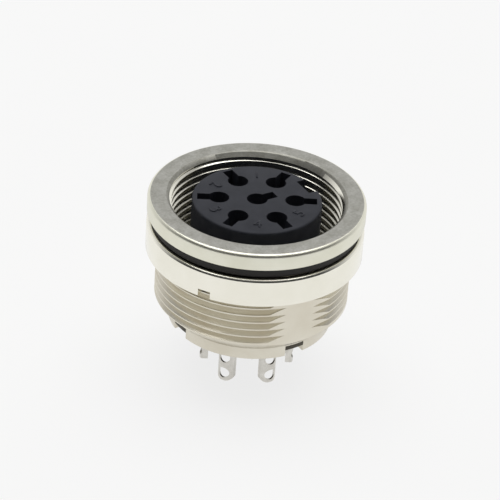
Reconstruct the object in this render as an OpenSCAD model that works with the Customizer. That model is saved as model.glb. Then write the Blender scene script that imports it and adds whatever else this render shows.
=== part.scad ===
// Round seven-way panel receptacle with a front flange, a ring nut and half-round solder tails.
// The origin is on the axis in the flange's front face, and the mating plug comes from +Z.
// The keyway points to +X and the milled flat to -Y.

/* [Flange] */
// Thickness of the flange
flange_t = 1.6; // [1.2:0.1:2.5]
// How far the flange stands out beyond the panel thread
flange_lip = 1; // [0.6:0.1:3]
// Round on the flange's front edge
flange_round = 0.3; // [0.1:0.05:0.6]
// Chamfer on the flange's rear edge
flange_chamfer = 0.1; // [0.05:0.05:0.4]
// How far the mouth's lead-in opens beyond the coupling thread
mouth_flare = 0.25; // [0.1:0.05:0.4]

/* [Coupling thread] */
// Nominal diameter of the inner thread that holds the plug's coupling ring
coupling_d = 16; // [14.5:0.5:20]
// Pitch of the inner thread
coupling_pitch = 0.75; // [0.5:0.25:1]
// Depth of the mouth from the front face to its floor
mouth_depth = 7.4; // [5:0.2:8.4]
// Width of the run-out groove at the foot of the inner thread
coupling_runout = 0.8; // [0.4:0.1:1.5]
// Radial depth of the run-out groove beyond the thread's nominal diameter
runout_depth = 0.05; // [0.02:0.01:0.2]

/* [Panel thread] */
// Metal between the coupling thread and the panel thread, from nominal size to nominal size
body_wall = 1; // [0.8:0.1:2.5]
// Length from the flange's rear face to the end of the panel thread
panel_thread_l = 8.55; // [7.6:0.05:14]
// Depth of the groove under the flange that holds the seal
seal_groove_depth = 0.6; // [0.3:0.05:0.8]
// Depth of the flat milled along the panel thread
flat_depth = 0.58; // [0.2:0.02:0.9]

/* [Skirt] */
// Length of the skirt behind the thread, with the cone that leads into it
skirt_l = 2.55; // [2:0.05:4]
// Wall of the skirt
skirt_wall = 0.75; // [0.6:0.05:1.2]
// Number of notches in the skirt's rim
notch_count = 4; // [2:1:6]
// Angle of the first notch
notch_at = 2.2; // [-5:0.2:5]
// Width of a notch
notch_w = 1.95; // [1:0.05:3]
// Depth of a notch, from the rim
notch_h = 1.1; // [0.8:0.05:1.5]

/* [Seal] */
// Thickness of the seal ring
seal_t = 1; // [0.6:0.05:1.6]
// How far the seal ring's rim lies inside the flange's rim
seal_inset = 0.4; // [0.2:0.05:0.8]

/* [Ring nut] */
// Thickness of the ring nut
nut_t = 2.75; // [1.5:0.05:5]
// How far the nut's rim lies inside the flange's rim
nut_inset = 0; // [0:0.05:0.3]
// Chamfer on the nut's edges
nut_chamfer = 0.28; // [0.1:0.02:0.4]
// Number of wrench slots in the nut's lower edge
nut_slots = 2; // [2:1:6]
// Width of a wrench slot
nut_slot_w = 1.2; // [0.8:0.1:2]
// Depth of a wrench slot
nut_slot_h = 0.75; // [0.4:0.05:1.2]
// Angle of the first wrench slot
nut_slot_at = 33; // [0:1:180]

/* [Insert] */
// Diameter of the insert's front boss
boss_d = 11.9; // [11.2:0.1:12.8]
// How far the boss lies behind the front face
boss_setback = 0.25; // [0:0.05:1.5]
// Round on the boss's front edge
boss_round = 0.2; // [0.05:0.05:0.4]
// How far the insert's base stands out beyond the boss
base_lip = 0.9; // [0.5:0.1:1.2]
// Thickness of the web that the insert's base bears on
web_t = 1.2; // [0.8:0.1:2]
// Width of the keyway
key_w = 2.2; // [1.5:0.1:2.6]
// Depth of the keyway
key_depth = 1.08; // [0.6:0.02:1.2]

/* [Contacts] */
// Diameter of the circle that the outer contacts stand on
pin_circle_d = 7; // [6.8:0.1:7.4]
// Bore of a contact
contact_bore = 1.48; // [1:0.02:1.6]
// Thickness of the contact's sheet
sheet_t = 0.18; // [0.12:0.01:0.22]
// Length of a contact's barrel
barrel_l = 6.8; // [5:0.1:8]
// How far the barrels lie behind the insert's face
barrel_setback = 1.95; // [1:0.05:2.4]
// Angle of the seam left open in the barrel
seam_angle = 50; // [20:5:80]
// Length of the flat neck between barrel and tail
neck_l = 0.8; // [0.6:0.05:1.2]
// Width of the flat neck
neck_w = 0.5; // [0.3:0.05:0.6]
// Width of the locking lance
lance_w = 0.7; // [0.4:0.05:0.9]
// Length of the locking lance along the barrel
lance_l = 1.8; // [1:0.1:3]
// How far the lance's tip springs out of the barrel
lance_out = 0.65; // [0.3:0.05:0.8]
// Length of the tails behind the skirt
tail_l = 5.15; // [4:0.05:10]
// Distance from a tail's end to the middle of its lower hole
tail_hole_at = 0.85; // [0.8:0.05:1.6]
// Diameter of the two wire holes in a tail
tail_hole_d = 1.1; // [0.8:0.05:1.4]
// Metal between the two wire holes
tail_web = 0.6; // [0.2:0.05:1]
// Round on the corners of a tail's end
tail_round = 0.65; // [0.2:0.05:0.7]

/* [Cavities] */
// Width of the slot beside each cavity
slot_w = 1; // [0.9:0.05:1.2]
// Wall left outside the slots of the outer cavities
slot_wall = 0.48; // [0.3:0.02:0.8]
// Reach of the centre cavity's slot, from the axis
centre_slot = 1.9; // [1.7:0.05:2]
// Depth of the slots from the insert's face
slot_depth = 5.4; // [5:0.1:7]

/* [Rear insulator and retaining ring] */
// Thickness of the rear insulator
insulator_t = 1; // [0.7:0.05:1.4]
// Thickness of the retaining ring
ring_t = 0.35; // [0.25:0.05:0.5]
// How deep the retaining ring sits in the skirt's groove
ring_grip = 0.3; // [0.15:0.05:0.4]
// How far the retaining ring stands in over the rear insulator
ring_hold = 0.5; // [0.3:0.05:0.8]
// Metal left between the groove and the skirt's rim
ring_land = 0.28; // [0.2:0.02:0.6]
// Angle of the gap in the retaining ring
ring_gap_angle = 50; // [20:5:90]

/* [Fits] */
// Radial clearance of the ring nut on the panel thread
nut_gap = 0.05; // [0.02:0.01:0.1]
// Gap between the ring nut and the seal
nut_seal_gap = 0.03; // [0.02:0.01:0.1]
// Radial clearance of the insert and the rear insulator in the housing
insert_gap = 0.04; // [0.02:0.01:0.1]
// Clearance of the contacts in the insert and the rear insulator
contact_gap = 0.03; // [0.02:0.01:0.05]
// Clearance of the retaining ring in its groove, and of the lugs in their notches
ring_gap = 0.02; // [0.01:0.01:0.05]

/* [Hidden] */
$fn = 96;

// How far a cut runs past the surface it opens
cut = 0.5;

nickel = [0.88, 0.86, 0.80];
black_plastic = [0.13, 0.13, 0.15];
black_rubber = [0.09, 0.08, 0.07];
tinned = [0.78, 0.77, 0.73];

// Radii of the housing, worked outwards from the coupling thread
coupling_r = coupling_d / 2;
coupling_minor_r = coupling_r - 0.5413 * coupling_pitch;
runout_r = coupling_r + runout_depth;
mouth_r = coupling_r + mouth_flare;
thread_r = coupling_r + body_wall;
flange_r = thread_r + flange_lip;
seal_groove_r = thread_r - seal_groove_depth;

// Radii of the insert and of the rear of the housing, worked outwards from the boss
boss_r = boss_d / 2;
web_r = boss_r + insert_gap;
base_r = boss_r + base_lip;
rear_bore_r = base_r + insert_gap;
skirt_r = rear_bore_r + skirt_wall;
groove_r = rear_bore_r + ring_grip;

// Heights, worked down from the front face
flange_rear = -flange_t;
seal_rear = flange_rear - seal_t;
nut_top = seal_rear - nut_seal_gap;
thread_end = flange_rear - panel_thread_l;
skirt_end = thread_end - skirt_l;
notch_top = skirt_end + notch_h;
cone_end = thread_end - max(0.1, min(thread_r - skirt_r, skirt_l - notch_h));
web_top = -mouth_depth;
web_bottom = web_top - web_t;
boss_top = -boss_setback;
insulator_rear = skirt_end + ring_land + ring_t + ring_gap;
insulator_top = insulator_rear + insulator_t;

// Contact sizes
bore_r = contact_bore / 2;
barrel_r = bore_r + sheet_t;
barrel_top = boss_top - barrel_setback;
barrel_end = barrel_top - barrel_l;
tail_top = barrel_end - neck_l;
tail_end = skirt_end - tail_l;
tail_chord = bore_r / 5;
cavity_r = barrel_r + contact_gap;
outer_slot_end = boss_r - slot_wall;

// Contacts 1 to 6 stand on the circle, and contact 7 on the axis
ring_contacts = 6;
first_contact_at = 30;

// Places its children at contact n, with their own +X pointing outwards
module at_contact(n) {
  on_circle = n <= ring_contacts;
  turn = on_circle ? first_contact_at + (n - 1) * 360 / ring_contacts : 0;
  rotate([0, 0, turn])
    translate([on_circle ? pin_circle_d / 2 : 0, 0, 0])
      children();
}

// The corner that a round of radius r takes off a profile whose outer corner is at (x, y)
module round_cut(x, y, r) {
  translate([x - r, y - r])
    difference() {
      square(r + cut);
      circle(r);
    }
}

// The housing's section: x is the radius and y the height
module housing_section() {
  lead = thread_r - seal_groove_r;
  flare = mouth_r - coupling_minor_r;
  runout_slope = runout_r - coupling_minor_r;
  polygon([
    [mouth_r, 0],
    [flange_r, 0],
    [flange_r, flange_rear + flange_chamfer],
    [flange_r - flange_chamfer, flange_rear],
    [seal_groove_r, flange_rear],
    [seal_groove_r, seal_rear],
    [thread_r - lead / 2, seal_rear],
    [thread_r, seal_rear - lead / 2],
    [thread_r, thread_end],
    [skirt_r, cone_end],
    [skirt_r, skirt_end + flange_chamfer],
    [skirt_r - flange_chamfer, skirt_end],
    [rear_bore_r, skirt_end],
    [rear_bore_r, skirt_end + ring_land],
    [groove_r, skirt_end + ring_land],
    [groove_r, insulator_rear],
    [rear_bore_r, insulator_rear],
    [rear_bore_r, web_bottom],
    [web_r, web_bottom],
    [web_r, web_top],
    [runout_r, web_top],
    [runout_r, web_top + coupling_runout],
    [coupling_minor_r, web_top + coupling_runout + runout_slope],
    [coupling_minor_r, -flare],
  ]);
}

// Boxes across the skirt's wall at each notch, from the wall's inside out, between two heights
module notch_boxes(r_in, r_out, w, z_low, z_high) {
  for (i = [0 : notch_count - 1])
    rotate([0, 0, notch_at + i * 360 / notch_count])
      translate([r_in, -w / 2, z_low])
        cube([r_out - r_in, w, z_high - z_low]);
}

module housing() {
  color(nickel)
    difference() {
      rotate_extrude()
        difference() {
          housing_section();
          round_cut(flange_r, 0, flange_round);
        }
      // milled flat, which stops the housing turning in a D-shaped hole
      translate([-thread_r, -thread_r - cut, skirt_end - cut])
        cube([2 * thread_r, flat_depth + cut, flange_rear - skirt_end + cut]);
      notch_boxes(boss_r, skirt_r + cut, notch_w, skirt_end - cut, notch_top);
    }
}

module ring_nut() {
  nut_r = flange_r - nut_inset;
  bore = thread_r + nut_gap;
  nut_rear = nut_top - nut_t;
  c = nut_chamfer;
  color(nickel)
    difference() {
      rotate_extrude()
        polygon([
          [bore + c, nut_top],
          [nut_r - c, nut_top],
          [nut_r, nut_top - c],
          [nut_r, nut_rear + c / 2],
          [nut_r - c / 2, nut_rear],
          [bore + c, nut_rear],
          [bore, nut_rear + c],
          [bore, nut_top - c],
        ]);
      for (i = [0 : nut_slots - 1])
        rotate([0, 0, nut_slot_at + i * 360 / nut_slots])
          translate([thread_r - cut, -nut_slot_w / 2, nut_rear - cut])
            cube([flange_lip + 2 * cut, nut_slot_w, nut_slot_h + cut]);
    }
}

module flange_seal() {
  seal_r = flange_r - seal_inset;
  color(black_rubber)
    rotate_extrude()
      difference() {
        translate([seal_groove_r, seal_rear])
          square([seal_r - seal_groove_r, seal_t]);
        round_cut(seal_r, flange_rear, seal_t / 3);
        translate([0, flange_rear + seal_rear])
          mirror([0, 1])
            round_cut(seal_r, flange_rear, seal_t / 3);
      }
}

// Keyhole outline of a cavity: a round bore with a slot that reaches out to slot_end
module keyhole(slot_end) {
  circle(cavity_r);
  translate([0, -slot_w / 2])
    square([slot_end, slot_w]);
}

// D-shaped outline that a half-round tail passes through
module tail_opening() {
  intersection() {
    circle(cavity_r);
    translate([tail_chord - contact_gap, -2 * barrel_r])
      square([2 * barrel_r, 4 * barrel_r]);
  }
}

// Everything that contact n takes out of the insert
module cavity(n) {
  slot_end = n <= ring_contacts ? outer_slot_end - pin_circle_d / 2 : centre_slot;
  at_contact(n) {
    translate([0, 0, barrel_end])
      cylinder(h = boss_top - barrel_end + cut, r = cavity_r);
    translate([0, 0, boss_top - slot_depth])
      linear_extrude(slot_depth + cut)
        keyhole(slot_end);
    translate([0, 0, insulator_top - cut])
      linear_extrude(barrel_end - insulator_top + 2 * cut)
        tail_opening();
  }
}

module insert() {
  color(black_plastic)
    difference() {
      rotate_extrude()
        difference() {
          union() {
            translate([0, web_bottom - cut])
              square([boss_r, boss_top - web_bottom + cut]);
            translate([0, insulator_top])
              square([base_r, web_bottom - insulator_top]);
          }
          round_cut(boss_r, boss_top, boss_round);
        }
      // keyway for the plug's key
      translate([boss_r - key_depth, -key_w / 2, web_top])
        cube([key_depth + cut, key_w, mouth_depth + cut]);
      for (n = [1 : ring_contacts + 1])
        cavity(n);
    }
}

module rear_insulator() {
  color(black_plastic)
    difference() {
      union() {
        translate([0, 0, insulator_rear])
          cylinder(h = insulator_t, r = base_r);
        // lugs that fill the notches down to the insulator's rear face
        intersection() {
          notch_boxes(boss_r, skirt_r, notch_w - 2 * ring_gap, insulator_rear, notch_top - ring_gap);
          translate([0, 0, insulator_rear - cut])
            cylinder(h = insulator_t + 2 * cut, r = skirt_r - ring_gap);
        }
      }
      for (n = [1 : ring_contacts + 1])
        at_contact(n)
          translate([0, 0, insulator_rear - cut])
            linear_extrude(insulator_t + 2 * cut)
              tail_opening();
    }
}

module retaining_ring() {
  inner_r = rear_bore_r - ring_hold;
  outer_r = groove_r - ring_gap;
  color(tinned)
    translate([0, 0, skirt_end + ring_land + ring_gap / 2])
      linear_extrude(ring_t)
        difference() {
          circle(outer_r);
          circle(inner_r);
          rotate(45 - ring_gap_angle / 2)
            wedge(2 * outer_r, ring_gap_angle);
        }
}

// A triangle with its point on the axis, opening from +X through the given angle
module wedge(reach, angle) {
  polygon([[0, 0], [reach, 0], [reach * cos(angle), reach * sin(angle)]]);
}

// Flat outline of the tail seen from outside: x runs across the tail and y along the axis
module tail_outline() {
  lower = tail_end + tail_hole_at;
  upper = lower + tail_hole_d + tail_web;
  difference() {
    union() {
      translate([-barrel_r, tail_end + tail_round])
        square([2 * barrel_r, tail_top - tail_end - tail_round]);
      translate([tail_round - barrel_r, tail_end])
        square([2 * (barrel_r - tail_round), 2 * tail_round]);
      for (side = [-1, 1])
        translate([side * (barrel_r - tail_round), tail_end + tail_round])
          circle(tail_round);
    }
    for (height = [lower, upper])
      translate([0, height])
        circle(d = tail_hole_d, $fn = 48);
  }
}

// One contact on its own axis, with the tail's round side and the lance towards +X
module contact() {
  lance_top = barrel_top - 0.1 * barrel_l;
  neck_in = bore_r;
  neck_out = sqrt(pow(barrel_r, 2) - pow(neck_w / 2, 2));
  // barrel rolled from sheet, with its seam towards the axis of the housing
  translate([0, 0, barrel_end])
    linear_extrude(barrel_l)
      difference() {
        circle(barrel_r);
        circle(bore_r);
        rotate(180 - seam_angle / 2)
          wedge(3 * barrel_r, seam_angle);
      }
  // neck
  translate([neck_in, -neck_w / 2, tail_top - cut])
    cube([neck_out - neck_in, neck_w, neck_l + 2 * cut]);
  // lance that keys the barrel in its slot
  translate([0, lance_w / 2, 0])
    rotate([90, 0, 0])
      linear_extrude(lance_w)
        polygon([
          [bore_r + sheet_t / 3, lance_top],
          [barrel_r, lance_top],
          [barrel_r + lance_out, lance_top - lance_l],
          [barrel_r + lance_out - sheet_t, lance_top - lance_l],
        ]);
  // half-round solder tail
  intersection() {
    translate([0, 0, tail_end - cut])
      difference() {
        cylinder(h = tail_top - tail_end + cut, r = barrel_r);
        translate([0, 0, -cut])
          cylinder(h = tail_top - tail_end + 3 * cut, r = bore_r);
      }
    translate([tail_chord, 0, 0])
      rotate([90, 0, 90])
        linear_extrude(barrel_r)
          tail_outline();
  }
}

module placed_contact(n) {
  color(tinned)
    at_contact(n)
      contact();
}

module contact_1() { placed_contact(1); }
module contact_2() { placed_contact(2); }
module contact_3() { placed_contact(3); }
module contact_4() { placed_contact(4); }
module contact_5() { placed_contact(5); }
module contact_6() { placed_contact(6); }
module contact_7() { placed_contact(7); }

housing();
ring_nut();
flange_seal();
insert();
rear_insulator();
retaining_ring();
contact_1();
contact_2();
contact_3();
contact_4();
contact_5();
contact_6();
contact_7();
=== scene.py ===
"""Looks of the round panel receptacle: threads, insert, contacts, floor, lights and camera."""

import math

import bmesh
import bpy
from mathutils import Matrix, Vector


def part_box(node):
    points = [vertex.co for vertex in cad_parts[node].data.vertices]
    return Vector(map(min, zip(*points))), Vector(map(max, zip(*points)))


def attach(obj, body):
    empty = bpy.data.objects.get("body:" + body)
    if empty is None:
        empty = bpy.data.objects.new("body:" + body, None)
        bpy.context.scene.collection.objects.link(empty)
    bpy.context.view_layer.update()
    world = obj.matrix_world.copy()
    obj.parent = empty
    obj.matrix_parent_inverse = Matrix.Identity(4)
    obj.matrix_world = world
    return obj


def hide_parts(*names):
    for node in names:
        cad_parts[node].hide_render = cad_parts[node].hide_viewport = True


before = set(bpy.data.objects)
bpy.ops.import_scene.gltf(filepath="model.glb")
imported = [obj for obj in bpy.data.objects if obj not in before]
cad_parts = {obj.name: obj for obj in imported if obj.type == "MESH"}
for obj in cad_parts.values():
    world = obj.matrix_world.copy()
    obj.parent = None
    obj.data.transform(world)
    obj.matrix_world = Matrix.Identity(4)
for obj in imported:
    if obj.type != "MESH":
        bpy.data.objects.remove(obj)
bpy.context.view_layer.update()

MM = 0.001
TURN = 2 * math.pi

# Sizes in millimetres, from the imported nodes
housing_low, housing_high = (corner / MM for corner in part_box("housing"))
nut_low, nut_high = (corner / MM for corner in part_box("ring_nut"))
seal_low, seal_high = (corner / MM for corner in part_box("flange_seal"))
insert_low, insert_high = (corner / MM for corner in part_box("insert"))
disc_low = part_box("rear_insulator")[0] / MM
snap_low, snap_high = (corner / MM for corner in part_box("retaining_ring"))
contact_low, contact_high = (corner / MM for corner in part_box("contact_7"))

flange_r = housing_high.x
skirt_end = housing_low.z
flange_rear = seal_high.z
seal_rear = seal_low.z
seal_r = seal_high.x
nut_r = nut_high.x
nut_top = nut_high.z
nut_rear = nut_low.z
boss_top = insert_high.z
base_rear = insert_low.z
base_r = insert_high.x
disc_rear = disc_low.z
tail_end = contact_low.z
barrel_top = contact_high.z

# Sizes in millimetres of details inside the nodes
PITCH = 0.75
THREAD_R = 9.0
THREAD_ROOT_R = 8.54
COUPLING_CREST_R = 7.8
COUPLING_MAJOR_R = 8.02
MOUTH_R = 8.25
MOUTH_LIP = 0.04
FLANGE_ROUND = 0.38
FLANGE_REAR_ROUND = 0.1
THREAD_END = -10.15
PANEL_PHASE = -7.05 + PITCH * 120.5 / 360
COUPLING_PHASE = -2.635
COUPLING_RUNOUT = 0.8
CONE_END = -11.51
WEB_TOP = -7.4
WEB_REAR = -8.6
WEB_R = 5.99
SEAL_GROOVE_R = 8.4
SEAL_ROUND = 0.22
SKIRT_R = 7.64
REAR_BORE_R = 6.89
SNAP_GROOVE_R = 7.19
SNAP_LAND = 0.28
FLAT_AT = 8.42
NOTCHES = 4
NOTCH_AT = 2.2
NOTCH_W = 1.95
NOTCH_TOP = -11.6
NUT_BORE_R = 9.05
NUT_ROUND_TOP = 0.34
NUT_ROUND_REAR = 0.05
NUT_LEAD = 0.4
NUT_SLOT_AT = (33, 213)
NUT_SLOT_W = 1.2
NUT_SLOT_H = 0.75
BOSS_R = 5.95
KEY_W = 2.2
KEY_FLOOR = 4.87
PIN_CIRCLE_R = 3.5
CAVITY_R = 0.95
SLOT_W = 1.0
SLOT_REACH = 1.97
CENTRE_SLOT_REACH = 1.9
SLOT_FLOOR = -5.65
BARREL_END = -9.0
BORE_R = 0.74
SHEET_T = 0.18
TAIL_CHORD = 0.148
TAIL_HOLE_R = 0.55
TAIL_HOLE_AT = (0.85, 2.55)
TAIL_ROUND = 0.65
DIGIT_R = 4.4
DIGIT_H = 1.15
DIGIT_RISE = 0.05

COLUMNS = 400
CUT = 0.5


# ---------------------------------------------------------------- mesh helpers

def arc(x, z, radius, start, end, steps=6):
    """Points of an arc in a section, with angles in degrees from the outward direction."""
    points = []
    for i in range(steps + 1):
        a = math.radians(start + (end - start) * i / steps)
        points.append((x + radius * math.cos(a), z + radius * math.sin(a)))
    return points


def fixed(points):
    """Section rows that are the same all the way round."""
    return [lambda turn, p=p: p for p in points]


def thread_rows(profile, top, bottom, phase, limit):
    """Section rows that follow a right-hand thread, cut off square at its two ends.

    profile lists one pitch as (height below the crest's middle, radius), phase is a crest's height
    at angle 0, and limit(z, r) trims the radius by chamfers and the run-out.
    """
    low = [-h for h, _ in profile]

    def radius(z, turn):
        below = (phase + PITCH * turn - z) % PITCH
        loop = [*profile, (profile[0][0] + PITCH, profile[0][1])]
        if below < loop[0][0]:
            below += PITCH
        for (h0, r0), (h1, r1) in zip(loop, loop[1:]):
            if h0 <= below <= h1:
                return r0 + (r1 - r0) * (below - h0) / (h1 - h0)
        return loop[0][1]

    first = math.ceil((top - phase) / PITCH) + 1
    last = math.floor((bottom - phase) / PITCH) - 2
    rows = []
    for turn_no in range(first, last - 1, -1):
        for h in low:
            start = phase + turn_no * PITCH + h

            def row(turn, start=start):
                z = min(top, max(bottom, start + PITCH * turn))
                return limit(z, radius(z, turn)), z

            rows.append(row)
    return rows


def revolve(name, rows, columns=COLUMNS):
    """Closed solid of revolution from section rows, whose radius and height may change with the angle."""
    bm = bmesh.new()
    grid = []
    for i in range(columns + 1):
        turn = i / columns
        c, s = math.cos(TURN * turn), math.sin(TURN * turn)
        column = []
        for row in rows:
            r, z = row(turn)
            column.append(bm.verts.new((r * c * MM, r * s * MM, z * MM)))
        grid.append(column)
    for left, right in zip(grid, grid[1:]):
        for j in range(len(rows)):
            k = (j + 1) % len(rows)
            bm.faces.new((left[j], left[k], right[k], right[j]))
    bmesh.ops.remove_doubles(bm, verts=bm.verts, dist=0.0005 * MM)
    return finish_mesh(name, bm)


def finish_mesh(name, bm, sharp=38):
    """New object from a bmesh, smooth with sharp edges by angle."""
    loose = [e for e in bm.edges if not e.link_faces]
    bmesh.ops.delete(bm, geom=loose, context="EDGES")
    bmesh.ops.recalc_face_normals(bm, faces=bm.faces)
    shade(bm, sharp)
    mesh = bpy.data.meshes.new(name)
    bm.to_mesh(mesh)
    bm.free()
    piece = bpy.data.objects.new(name, mesh)
    bpy.context.collection.objects.link(piece)
    return piece


def shade(bm, sharp, planes=()):
    """Smooth shading that breaks at sharp edges and round faces cut along planes (normal, distance)."""
    for face in bm.faces:
        face.smooth = True
    for edge in bm.edges:
        edge.smooth = len(edge.link_faces) == 2 and edge.calc_face_angle(0) < math.radians(sharp)
    for normal, distance in planes:
        for face in bm.faces:
            off = abs(face.verts[0].co.dot(normal) - distance * MM)
            if face.normal.dot(normal) > 0.9999 and off < 0.001 * MM:
                for edge in face.edges:
                    edge.smooth = False


def prism(bm, outline, low, high, place=Matrix.Identity(4)):
    """Adds an upright prism over a flat outline to a bmesh."""
    bottom = [bm.verts.new(place @ Vector((x * MM, y * MM, low * MM))) for x, y in outline]
    top = [bm.verts.new(place @ Vector((x * MM, y * MM, high * MM))) for x, y in outline]
    bm.faces.new(bottom)
    bm.faces.new(top)
    for i in range(len(outline)):
        k = (i + 1) % len(outline)
        bm.faces.new((bottom[i], bottom[k], top[k], top[i]))


def box_outline(x0, x1, y0, y1):
    return [(x0, y0), (x1, y0), (x1, y1), (x0, y1)]


def turned(degrees):
    return Matrix.Rotation(math.radians(degrees), 4, "Z")


def combine(piece, other, operation="DIFFERENCE", sharp=38, planes=()):
    """Applies a boolean with another object, which goes away."""
    modifier = piece.modifiers.new("combine", "BOOLEAN")
    modifier.operation = operation
    modifier.solver = "EXACT"
    modifier.object = other
    graph = bpy.context.evaluated_depsgraph_get()
    mesh = bpy.data.meshes.new_from_object(piece.evaluated_get(graph))
    piece.modifiers.clear()
    old = piece.data
    piece.data = mesh
    bpy.data.meshes.remove(old)
    bpy.data.objects.remove(other)
    bm = bmesh.new()
    bm.from_mesh(mesh)
    bmesh.ops.remove_doubles(bm, verts=bm.verts, dist=0.0005 * MM)
    bmesh.ops.recalc_face_normals(bm, faces=bm.faces)
    shade(bm, sharp, planes)
    bm.to_mesh(mesh)
    bm.free()


def cutter(prisms):
    """An object made of prisms, each (outline, low, high, place)."""
    bm = bmesh.new()
    for outline, low, high, place in prisms:
        prism(bm, outline, low, high, place)
    return finish_mesh("cutter", bm)


# ---------------------------------------------------------------- node helpers

class Nodes:
    """Short way to wire a material's or world's node tree."""

    def __init__(self, tree):
        self.tree = tree
        tree.nodes.clear()

    def add(self, kind, inputs=None, **settings):
        node = self.tree.nodes.new(kind)
        for key, value in settings.items():
            setattr(node, key, value)
        for key, value in (inputs or {}).items():
            if isinstance(value, bpy.types.NodeSocket):
                self.tree.links.new(value, node.inputs[key])
            else:
                node.inputs[key].default_value = value
        return node

    def math(self, operation, a, b=0.0):
        return self.add("ShaderNodeMath", {0: a, 1: b}, operation=operation).outputs[0]

    def noise(self, vector, scale, detail=3.0, roughness=0.5):
        inputs = {"Vector": vector, "Scale": scale, "Detail": detail, "Roughness": roughness}
        return self.add("ShaderNodeTexNoise", inputs).outputs["Fac"]

    def ramp(self, factor, stops):
        node = self.add("ShaderNodeValToRGB", {"Fac": factor})
        elements = node.color_ramp.elements
        while len(elements) < len(stops):
            elements.new(0.5)
        for element, (position, value) in zip(elements, stops):
            element.position = position
            element.color = (*value, 1) if isinstance(value, tuple) else (value, value, value, 1)
        return node.outputs["Color"]

    def scaled(self, factor, low, high):
        inputs = {"Value": factor, "To Min": low, "To Max": high}
        return self.add("ShaderNodeMapRange", inputs).outputs[0]


def new_material(name):
    material = bpy.data.materials.new(name)
    material.use_nodes = True
    return material, Nodes(material.node_tree)


def close_material(nodes, shader):
    nodes.add("ShaderNodeOutputMaterial", {"Surface": shader.outputs[0]})


def section_coordinates(nodes):
    """Radius and height of a surface point, which turning marks depend on."""
    point = nodes.add("ShaderNodeTexCoord").outputs["Object"]
    split = nodes.add("ShaderNodeSeparateXYZ", {"Vector": point})
    flat = nodes.add("ShaderNodeCombineXYZ", {"X": split.outputs["X"], "Y": split.outputs["Y"]})
    radius = nodes.add("ShaderNodeVectorMath", {0: flat.outputs[0]}, operation="LENGTH").outputs["Value"]
    section = nodes.add("ShaderNodeCombineXYZ", {"X": radius, "Y": split.outputs["Z"]})
    return point, section.outputs[0], split.outputs["Z"]


def turned_nickel(name, dark, light, rough, grain_share, relief):
    """Plating over turned metal, with faint turning rings, grain and a little unevenness."""
    material, nodes = new_material(name)
    point, section, _ = section_coordinates(nodes)
    rings = nodes.noise(section, 9000, detail=4, roughness=0.7)
    cloud = nodes.noise(point, 320, detail=4)
    grain = nodes.noise(point, 9000, detail=3)
    parts = [nodes.math("MULTIPLY", rings, 1 - grain_share), nodes.math("MULTIPLY", grain, grain_share)]
    height = nodes.math("ADD", *parts)
    bump = nodes.add("ShaderNodeBump", {"Strength": relief, "Distance": 0.00001, "Height": height})
    shader = nodes.add("ShaderNodeBsdfPrincipled", {
        "Base Color": nodes.ramp(cloud, [(0.3, dark), (0.7, light)]),
        "Metallic": 1.0,
        "Roughness": nodes.scaled(cloud, rough - 0.04, rough + 0.04),
        "Normal": bump.outputs[0],
    })
    close_material(nodes, shader)
    return material


def matt_nickel(name, dark, light):
    """The flange's front face and flare, which are fine-ground and matt."""
    material, nodes = new_material(name)
    point, section, _ = section_coordinates(nodes)
    rings = nodes.noise(section, 16000, detail=3, roughness=0.7)
    grain = nodes.noise(point, 4500, detail=4, roughness=0.65)
    cloud = nodes.noise(point, 900, detail=5, roughness=0.6)
    height = nodes.math("ADD", nodes.math("MULTIPLY", rings, 0.5), grain)
    bump = nodes.add("ShaderNodeBump", {"Strength": 0.35, "Distance": 0.00001, "Height": height})
    tint = nodes.math("ADD", nodes.math("MULTIPLY", cloud, 0.5), nodes.math("MULTIPLY", grain, 0.5))
    colour = nodes.ramp(tint, [(0.35, dark), (0.65, light)])
    shader = nodes.add("ShaderNodeBsdfPrincipled", {
        "Base Color": colour,
        "Metallic": 1.0,
        "Roughness": nodes.scaled(grain, 0.36, 0.50),
        "Normal": bump.outputs[0],
    })
    close_material(nodes, shader)
    return material


def tinned_sheet():
    """Dull tin on the contacts' stamped sheet."""
    material, nodes = new_material("tinned_sheet")
    point, _, _ = section_coordinates(nodes)
    cloud = nodes.noise(point, 1500, detail=5, roughness=0.6)
    grain = nodes.noise(point, 12000, detail=3)
    bump = nodes.add("ShaderNodeBump", {"Strength": 0.25, "Distance": 0.00001, "Height": grain})
    colour = nodes.ramp(cloud, [(0.3, (0.60, 0.58, 0.53)), (0.7, (0.80, 0.78, 0.73))])
    shader = nodes.add("ShaderNodeBsdfPrincipled", {
        "Base Color": colour,
        "Metallic": 1.0,
        "Roughness": nodes.scaled(cloud, 0.26, 0.38),
        "Normal": bump.outputs[0],
    })
    close_material(nodes, shader)
    return material


def spring_steel():
    material, nodes = new_material("spring_steel")
    point, section, _ = section_coordinates(nodes)
    rings = nodes.noise(section, 12000, detail=3)
    cloud = nodes.noise(point, 1200, detail=4)
    bump = nodes.add("ShaderNodeBump", {"Strength": 0.2, "Distance": 0.00001, "Height": rings})
    colour = nodes.ramp(cloud, [(0.3, (0.42, 0.42, 0.42)), (0.7, (0.58, 0.58, 0.57))])
    shader = nodes.add("ShaderNodeBsdfPrincipled", {
        "Base Color": colour,
        "Metallic": 1.0,
        "Roughness": nodes.scaled(cloud, 0.28, 0.4),
        "Normal": bump.outputs[0],
    })
    close_material(nodes, shader)
    return material


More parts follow.
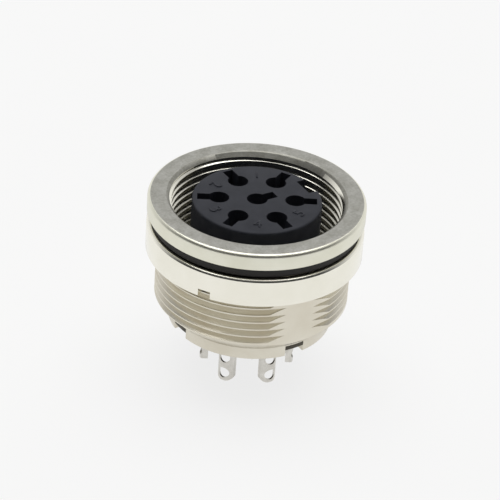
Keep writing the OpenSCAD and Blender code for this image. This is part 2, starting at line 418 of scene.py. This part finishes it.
def black_plastic():
    """Moulded black plastic with a fine semi-gloss grain."""
    material, nodes = new_material("black_plastic")
    point, _, _ = section_coordinates(nodes)
    grain = nodes.noise(point, 9000, detail=3, roughness=0.6)
    cloud = nodes.noise(point, 700, detail=4)
    bump = nodes.add("ShaderNodeBump", {"Strength": 0.25, "Distance": 0.00001, "Height": grain})
    colour = nodes.ramp(cloud, [(0.3, (0.024, 0.026, 0.034)), (0.7, (0.035, 0.037, 0.047))])
    shader = nodes.add("ShaderNodeBsdfPrincipled", {
        "Base Color": colour,
        "Specular IOR Level": 0.18,
        "Roughness": nodes.scaled(cloud, 0.42, 0.52),
        "Normal": bump.outputs[0],
    })
    close_material(nodes, shader)
    return material


def brown_laminate():
    """Dull brown pressed board."""
    material, nodes = new_material("brown_laminate")
    point, _, _ = section_coordinates(nodes)
    grain = nodes.noise(point, 8000, detail=3, roughness=0.6)
    cloud = nodes.noise(point, 1100, detail=4)
    bump = nodes.add("ShaderNodeBump", {"Strength": 0.3, "Distance": 0.00001, "Height": grain})
    colour = nodes.ramp(cloud, [(0.3, (0.060, 0.048, 0.028)), (0.7, (0.115, 0.098, 0.062))])
    shader = nodes.add("ShaderNodeBsdfPrincipled", {
        "Base Color": colour,
        "Roughness": nodes.scaled(cloud, 0.40, 0.55),
        "Normal": bump.outputs[0],
    })
    close_material(nodes, shader)
    return material


def black_rubber():
    material, nodes = new_material("black_rubber")
    point, _, _ = section_coordinates(nodes)
    grain = nodes.noise(point, 11000, detail=4, roughness=0.7)
    cloud = nodes.noise(point, 900, detail=3)
    bump = nodes.add("ShaderNodeBump", {"Strength": 0.4, "Distance": 0.00001, "Height": grain})
    colour = nodes.ramp(cloud, [(0.3, (0.012, 0.010, 0.009)), (0.7, (0.022, 0.019, 0.016))])
    shader = nodes.add("ShaderNodeBsdfPrincipled", {
        "Base Color": colour,
        "Roughness": nodes.scaled(cloud, 0.55, 0.7),
        "Normal": bump.outputs[0],
    })
    close_material(nodes, shader)
    return material


def pale_floor():
    """Bright even paper, which the camera and the metal see nearly white, with a faint shadow."""
    material, nodes = new_material("pale_floor")
    point, _, _ = section_coordinates(nodes)
    cloud = nodes.noise(point, 30, detail=3)
    colour = nodes.ramp(cloud, [(0.3, (0.82, 0.82, 0.81)), (0.7, (0.84, 0.84, 0.83))])
    paper = nodes.add("ShaderNodeBsdfDiffuse", {"Color": colour})
    glow = nodes.add("ShaderNodeEmission", {"Color": (1, 1, 1, 1), "Strength": 1.0})
    path = nodes.add("ShaderNodeLightPath").outputs
    seen = nodes.math("MAXIMUM", path["Is Camera Ray"], path["Is Glossy Ray"])
    share = nodes.math("MULTIPLY", seen, FLOOR_GLOW)
    shader = nodes.add("ShaderNodeMixShader", {0: share, 1: paper.outputs[0], 2: glow.outputs[0]})
    close_material(nodes, shader)
    return material


# ---------------------------------------------------------------- pieces

def dress(piece, body, slot, *nodes, materials):
    for material in materials:
        piece.data.materials.append(material)
    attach(piece, body)
    if nodes:
        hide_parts(*nodes)


def make_housing():
    outer = [(0.05, THREAD_R), (0.315, THREAD_ROOT_R), (0.415, THREAD_ROOT_R), (0.70, THREAD_R)]
    inner = [(0.17, COUPLING_CREST_R), (0.30, COUPLING_MAJOR_R),
             (0.44, COUPLING_MAJOR_R), (0.57, COUPLING_CREST_R)]
    lead = (THREAD_R - SEAL_GROOVE_R) / 2

    def outer_limit(z, r):
        runs_out = THREAD_R - math.tan(math.radians(60)) * (z - THREAD_END)
        return min(max(r, runs_out), THREAD_R - lead + seal_rear - z)

    def inner_limit(z, r):
        return max(r, MOUTH_R + z)

    groove_r = COUPLING_MAJOR_R + 0.03
    runout_top = WEB_TOP + COUPLING_RUNOUT
    rows = fixed(arc(MOUTH_R + MOUTH_LIP, -MOUTH_LIP, MOUTH_LIP, 135, 90, 2))
    rows += fixed(arc(flange_r - FLANGE_ROUND, -FLANGE_ROUND, FLANGE_ROUND, 90, 0, 10))
    rear = FLANGE_REAR_ROUND
    rows += fixed(arc(flange_r - rear, flange_rear + rear, rear, 0, -90, 3))
    rows += fixed([(SEAL_GROOVE_R, flange_rear), (SEAL_GROOVE_R, seal_rear), (THREAD_R - lead, seal_rear)])
    rows += thread_rows(outer, seal_rear, THREAD_END, PANEL_PHASE, outer_limit)
    rows += fixed(arc(THREAD_R - 0.06, THREAD_END - 0.04, 0.06, 15, -45, 3))
    rows += fixed([(SKIRT_R + 0.04, CONE_END + 0.04), (SKIRT_R, CONE_END - 0.03)])
    rows += fixed(arc(SKIRT_R - 0.1, skirt_end + 0.1, 0.1, 0, -90, 3))
    rows += fixed([(REAR_BORE_R, skirt_end), (REAR_BORE_R, skirt_end + SNAP_LAND)])
    rows += fixed([(SNAP_GROOVE_R, skirt_end + SNAP_LAND), (SNAP_GROOVE_R, disc_rear)])
    rows += fixed([(REAR_BORE_R, disc_rear), (REAR_BORE_R, WEB_REAR), (WEB_R, WEB_REAR), (WEB_R, WEB_TOP)])
    rows += fixed([(groove_r, WEB_TOP), (groove_r, runout_top - 0.01)])
    rows += list(reversed(thread_rows(inner, -0.02, runout_top, COUPLING_PHASE, inner_limit)))
    piece = revolve("housing_body", rows)

    flat = box_outline(-THREAD_R, THREAD_R, -THREAD_R - CUT, -FLAT_AT)
    cuts = [(flat, CONE_END, flange_rear, turned(0))]
    for i in range(NOTCHES):
        wall = box_outline(REAR_BORE_R - CUT, SKIRT_R + CUT, -NOTCH_W / 2, NOTCH_W / 2)
        cuts.append((wall, skirt_end - CUT, NOTCH_TOP, turned(NOTCH_AT + 360 / NOTCHES * i)))
    combine(piece, cutter(cuts), planes=[(Vector((0, -1, 0)), FLAT_AT)])
    return piece


def finish_of(face):
    """Place of a housing face's finish in its list of materials."""
    bright, matt, dull_shaded, satin_shaded, darker_mouth = range(5)
    reach, height = Vector(face.center[:2]).length / MM, face.center.z / MM
    flare = reach < MOUTH_R and height > COUPLING_CREST_R - MOUTH_R - 0.1 and 0.6 < face.normal.z < 0.8
    lip = reach < MOUTH_R + 0.05 and height > -0.045
    bore = reach < REAR_BORE_R + 0.1 or (reach < SEAL_GROOVE_R and height > THREAD_END)
    # The bore's flare and lip take the darker copy of the matt nickel
    if flare or lip:
        return darker_mouth
    if height > -0.1 and face.normal.z > 0.93:
        return matt
    # The flange's side: the satin copy, whose darker colour is painted shade
    if reach > SEAL_GROOVE_R and height > flange_rear - 0.001:
        return satin_shaded
    # Below the seal: the rougher copy, whose darker colour is painted shade
    if height < seal_rear and not bore:
        return dull_shaded
    return bright


def make_nut():
    bore = [(0.05, NUT_BORE_R), (0.09, NUT_BORE_R + 0.03), (0.28, 9.40), (0.33, 9.43),
            (0.42, 9.43), (0.47, 9.40), (0.66, NUT_BORE_R + 0.03), (0.70, NUT_BORE_R)]
    round_top, round_rear, lead = NUT_ROUND_TOP, NUT_ROUND_REAR, NUT_LEAD

    def limit(z, r):
        return max(r, NUT_BORE_R + lead - (nut_top - z), NUT_BORE_R + lead - (z - nut_rear))

    rows = fixed(arc(nut_r - round_top, nut_top - round_top, round_top, 90, 0, 8))
    rows += fixed(arc(nut_r - round_rear, nut_rear + round_rear, round_rear, 0, -90, 4))
    rows += list(reversed(thread_rows(bore, nut_top, nut_rear, nut_top, limit)))
    piece = revolve("ring_nut_body", rows)
    slot = box_outline(THREAD_R - CUT, nut_r + CUT, -NUT_SLOT_W / 2, NUT_SLOT_W / 2)
    combine(piece, cutter([(slot, nut_rear - CUT, nut_rear + NUT_SLOT_H, turned(a)) for a in NUT_SLOT_AT]))
    return piece


def make_seal():
    r = SEAL_ROUND
    rows = fixed([(SEAL_GROOVE_R, seal_rear), (SEAL_GROOVE_R, flange_rear)])
    rows += fixed(arc(seal_r - r, flange_rear - r, r, 90, 0, 6))
    rows += fixed(arc(seal_r - r, seal_rear + r, r, 0, -90, 6))
    return revolve("flange_seal_body", rows)


def keyhole(reach, steps=40):
    """Outline of a round cavity with a slot towards +X."""
    half = SLOT_W / 2
    mouth = math.degrees(math.asin(half / CAVITY_R))
    points = arc(0, 0, CAVITY_R, mouth, 360 - mouth, steps)
    return [*points, (reach, -half), (reach, half)]


def tail_opening(steps=24):
    """Outline of the D-shaped opening for a tail."""
    chord = TAIL_CHORD - 0.03
    edge = math.degrees(math.acos(chord / CAVITY_R))
    return arc(0, 0, CAVITY_R, -edge, edge, steps)


def contact_places():
    places = [turned(30 + 60 * k) @ Matrix.Translation((PIN_CIRCLE_R * MM, 0, 0)) for k in range(6)]
    return [*places, Matrix.Identity(4)]


def make_insert():
    rows = fixed([(0, base_rear), (base_r, base_rear), (base_r, WEB_REAR), (BOSS_R, WEB_REAR)])
    rows += fixed(arc(BOSS_R - 0.2, boss_top - 0.2, 0.2, 0, 90, 5))
    rows += fixed([(0, boss_top)])
    piece = revolve("insert_body", rows, columns=240)
    keyway = box_outline(KEY_FLOOR, BOSS_R + CUT, -KEY_W / 2, KEY_W / 2)
    combine(piece, cutter([(keyway, WEB_TOP, boss_top + CUT, turned(0))]))
    places = contact_places()
    round_hole = arc(0, 0, CAVITY_R, 0, 351, 39)
    slots, holes, tails = [], [], []
    for i, place in enumerate(places):
        reach = SLOT_REACH if i < 6 else CENTRE_SLOT_REACH
        slots.append((keyhole(reach), SLOT_FLOOR, boss_top + CUT, place))
        holes.append((round_hole, BARREL_END, SLOT_FLOOR + CUT, place))
        tails.append((tail_opening(), base_rear - CUT, BARREL_END + CUT, place))
    for cuts in (slots, holes, tails):
        combine(piece, cutter(cuts))
    return piece


def make_digits():
    """Plain raised numbers beside the cavities, with their feet outwards."""
    bm = bmesh.new()
    for n in range(1, 6):
        text = bpy.data.curves.new("digit", "FONT")
        text.body = str(n)
        text.align_x, text.align_y = "CENTER", "CENTER"
        text.size = DIGIT_H * MM * 1.4
        text.offset = -0.02 * MM
        text.extrude = DIGIT_RISE * MM
        text.bevel_depth = 0.02 * MM
        text.bevel_resolution = 1
        letter = bpy.data.objects.new("digit", text)
        mesh = bpy.data.meshes.new_from_object(letter)
        place = turned(60 * n) @ Matrix.Translation((DIGIT_R * MM, 0, boss_top * MM)) @ turned(90)
        mesh.transform(place)
        bm.from_mesh(mesh)
        bpy.data.objects.remove(letter)
    bmesh.ops.remove_doubles(bm, verts=bm.verts, dist=0.0005 * MM)
    return finish_mesh("insert_digits", bm)


def make_rear_insulator():
    r = REAR_BORE_R - 0.04
    top = base_rear
    rows = fixed([(0, disc_rear), (r - 0.05, disc_rear), (r, disc_rear + 0.05),
                  (r, top - 0.05), (r - 0.05, top), (0, top)])
    piece = revolve("rear_insulator_body", rows, columns=200)
    bm = bmesh.new()
    half = NOTCH_W / 2 - 0.02
    edge = math.degrees(math.asin(half / (SKIRT_R - 0.02)))
    for i in range(NOTCHES):
        outline = [(r - 1, half), (r - 1, -half), *arc(0, 0, SKIRT_R - 0.02, -edge, edge, 8)]
        prism(bm, outline, disc_rear, NOTCH_TOP - 0.02, turned(NOTCH_AT + 360 / NOTCHES * i))
    combine(piece, finish_mesh("lugs", bm), "UNION")
    combine(piece, cutter([(tail_opening(), disc_rear - CUT, top + CUT, p) for p in contact_places()]))
    return piece


def make_retaining_ring():
    """Split ring of flat spring stock with round ends."""
    outer, inner = SNAP_GROOVE_R - 0.02, REAR_BORE_R - 0.5
    middle, half = (outer + inner) / 2, (outer - inner) / 2
    start, end = 45 + 25, 45 + 335
    outline = arc(0, 0, outer, start, end, 120)
    ends = []
    for angle, first in ((end, 0), (start, 180)):
        a = math.radians(angle)
        cap = arc(middle * math.cos(a), middle * math.sin(a), half, angle + first, angle + first + 180, 8)
        ends.append(cap[1:-1])
    outline += ends[0] + arc(0, 0, inner, end, start, 120) + ends[1]
    bm = bmesh.new()
    prism(bm, outline, snap_low.z, snap_high.z)
    return finish_mesh("retaining_ring_body", bm)


def make_contact():
    """One contact on its own axis: rolled barrel, neck, lance and half-round tail."""
    outer = BORE_R + SHEET_T
    seam = 25
    bm = bmesh.new()
    section = arc(0, 0, outer, 180 + seam, 540 - seam, 40) + arc(0, 0, BORE_R, 540 - seam, 180 + seam, 40)
    prism(bm, section, BARREL_END, barrel_top)
    piece = finish_mesh("contact_barrel", bm)

    tail_top = BARREL_END - 0.8
    edge_out = math.degrees(math.acos(TAIL_CHORD / outer))
    edge_in = math.degrees(math.acos(TAIL_CHORD / BORE_R))
    bm = bmesh.new()
    section = arc(0, 0, outer, -edge_out, edge_out, 28) + arc(0, 0, BORE_R, edge_in, -edge_in, 28)
    prism(bm, section, tail_end, tail_top)
    tail = finish_mesh("contact_tail", bm)

    sideways = Matrix.Rotation(math.radians(90), 4, "Y")
    cuts = []
    for height in TAIL_HOLE_AT:
        hole = arc(-(tail_end + height), 0, TAIL_HOLE_R, 0, 350, 35)
        cuts.append((hole, 0, 2, sideways))
    for side in (-1, 1):
        centre = side * (outer - TAIL_ROUND)
        corner = arc(-(tail_end + TAIL_ROUND), centre, TAIL_ROUND, 0, 90 * side, 8)
        past = side * (outer + CUT)
        corner += [(-(tail_end + TAIL_ROUND), past), (-tail_end + CUT, past), (-tail_end + CUT, centre)]
        cuts.append((corner, 0, 2, sideways))
    combine(tail, cutter(cuts))

    bm = bmesh.new()
    prism(bm, box_outline(BORE_R, 0.885, -0.25, 0.25), tail_top - 0.3, BARREL_END + 0.3)
    neck = finish_mesh("contact_neck", bm)

    bm = bmesh.new()
    lance_top = barrel_top - 0.68
    profile = [(-lance_top, BORE_R + 0.06), (-lance_top, outer), (1.8 - lance_top, outer + 0.65),
               (1.8 - lance_top, outer + 0.65 - SHEET_T)]
    upright = Matrix(((0, 1, 0, 0), (0, 0, 1, 0), (-1, 0, 0, 0), (0, 0, 0, 1)))
    prism(bm, profile, -0.35, 0.35, upright)
    lance = finish_mesh("contact_lance", bm)
    for part in (neck, tail, lance):
        combine(piece, part, "UNION")
    return piece


def make_contacts(material):
    pattern = make_contact()
    for i, place in enumerate(contact_places()):
        mesh = pattern.data.copy()
        mesh.transform(place)
        piece = bpy.data.objects.new(f"contact_{i + 1}_body", mesh)
        bpy.context.collection.objects.link(piece)
        dress(piece, "receptacle", "contact_plate", f"contact_{i + 1}", materials=[material])
    bpy.data.objects.remove(pattern)


# ---------------------------------------------------------------- stage

# Share of the floor's own white that the camera and mirrors see
FLOOR_GLOW = 0.8
# The camera, in millimetres and degrees
CAMERA_AZIMUTH = -32.5
CAMERA_PLACE = Vector((-101.262, -158.949, 113.496))
CAMERA_AIM = Vector((-0.285, 0.181, -5.794))
CAMERA_ROLL = 3.976
CAMERA_LENS = 174.26
# Brightness of the surroundings against the sine of the height above the horizon
ROOM = [(0.0, 0.03), (0.6, 0.05), (0.85, 0.25), (1.0, 0.3)]
BACKDROP = [(0.0, 0.95), (0.35, 0.9), (0.6, 0.6), (0.8, 0.2), (1.0, 0.3)]


def make_floor():
    bm = bmesh.new()
    size = 3.0
    corners = [(-size, -size), (size, -size), (size, size), (-size, size)]
    bm.faces.new([bm.verts.new((x, y, tail_end * MM)) for x, y in corners])
    floor = finish_mesh("floor", bm)
    floor.data.materials.append(pale_floor())


def area_light(name, azimuth, elevation, distance, size, power):
    """Soft light at an angle round the object, as the camera's azimuth is counted."""
    light = bpy.data.lights.new(name, "AREA")
    light.shape = "RECTANGLE"
    light.size, light.size_y = size
    light.energy = power
    lamp = bpy.data.objects.new(name, light)
    back = direction(azimuth, elevation)
    lamp.location = back * distance
    lamp.rotation_euler = back.to_track_quat("Z", "Y").to_euler()
    bpy.context.collection.objects.link(lamp)


def direction(azimuth, elevation):
    a, e = math.radians(azimuth), math.radians(elevation)
    return Vector((math.sin(a) * math.cos(e), -math.cos(a) * math.cos(e), math.sin(e)))


def make_world():
    """Dark room towards the camera, a pale backdrop behind the object and a grey ceiling."""
    world = bpy.data.worlds.new("studio")
    bpy.context.scene.world = world
    world.use_nodes = True
    nodes = Nodes(world.node_tree)
    towards = nodes.add("ShaderNodeTexCoord").outputs["Generated"]
    height = nodes.add("ShaderNodeSeparateXYZ", {"Vector": towards}).outputs["Z"]
    inputs = {0: towards, 1: direction(CAMERA_AZIMUTH + 180, 0)}
    behind = nodes.add("ShaderNodeVectorMath", inputs, operation="DOT_PRODUCT").outputs["Value"]
    share = nodes.add("ShaderNodeMapRange", {"Value": behind, "From Min": -0.2, "From Max": 0.5}).outputs[0]
    colours = {"A": nodes.ramp(height, ROOM), "B": nodes.ramp(height, BACKDROP)}
    mixed = nodes.add("ShaderNodeMix", data_type="RGBA")
    nodes.tree.links.new(share, mixed.inputs[0])
    nodes.tree.links.new(colours["A"], mixed.inputs[6])
    nodes.tree.links.new(colours["B"], mixed.inputs[7])
    background = nodes.add("ShaderNodeBackground", {"Color": mixed.outputs[2], "Strength": 1.0})
    nodes.add("ShaderNodeOutputWorld", {"Surface": background.outputs[0]})


def make_camera():
    data = bpy.data.cameras.new("camera")
    data.lens = CAMERA_LENS
    data.clip_start = 0.01
    data.clip_end = 10
    camera = bpy.data.objects.new("camera", data)
    camera.location = CAMERA_PLACE * MM
    look = (CAMERA_AIM - CAMERA_PLACE).to_track_quat("-Z", "Y").to_matrix().to_4x4()
    roll = Matrix.Rotation(math.radians(CAMERA_ROLL), 4, "Z")
    camera.matrix_world = Matrix.Translation(CAMERA_PLACE * MM) @ look @ roll
    bpy.context.collection.objects.link(camera)
    bpy.context.scene.camera = camera


# ---------------------------------------------------------------- the scene

make_camera()
nickel = turned_nickel("bright_nickel", (0.84, 0.82, 0.72), (0.90, 0.88, 0.79), 0.18, 0.4, 0.12)
# Satin nickel for the flange's side, whose darker colour is painted shade
satin_shaded = turned_nickel("satin_shaded_nickel", (0.76, 0.75, 0.63), (0.86, 0.85, 0.74), 0.40, 0.8, 0.6)
# Rougher nickel below the seal, whose darker, yellower colour is painted shade of the floor's faint shadow
# and painted warm bounce light
dull_shaded = turned_nickel("dull_shaded_nickel", (0.68, 0.635, 0.53), (0.77, 0.735, 0.635), 0.30, 0.8, 0.5)
matt = matt_nickel("matt_nickel", (0.32, 0.315, 0.275), (0.53, 0.525, 0.49))
# A darker copy of the matt nickel for the bore's flare and lip
darker_mouth = matt_nickel("darker_mouth_nickel", (0.24, 0.235, 0.20), (0.38, 0.375, 0.34))
plastic = black_plastic()

housing = make_housing()
dress(housing, "receptacle", "nickel_plate", "housing", materials=[nickel, matt, dull_shaded, satin_shaded, darker_mouth])
for face in housing.data.polygons:
    face.material_index = finish_of(face)
dress(make_nut(), "nut", "nickel_plate", "ring_nut", materials=[nickel])
dress(make_seal(), "receptacle", "seal_rubber", "flange_seal", materials=[black_rubber()])
dress(make_insert(), "receptacle", "insert_plastic", "insert", materials=[plastic])
dress(make_digits(), "receptacle", "insert_plastic", materials=[plastic])
dress(make_rear_insulator(), "receptacle", "insert_plastic", "rear_insulator", materials=[brown_laminate()])
dress(make_retaining_ring(), "receptacle", "ring_steel", "retaining_ring", materials=[spring_steel()])
make_contacts(tinned_sheet())

make_floor()
make_world()
area_light("overhead", CAMERA_AZIMUTH, 100, 0.6, (0.7, 0.5), 2.6)

bpy.context.scene.view_settings.view_transform = "Standard"
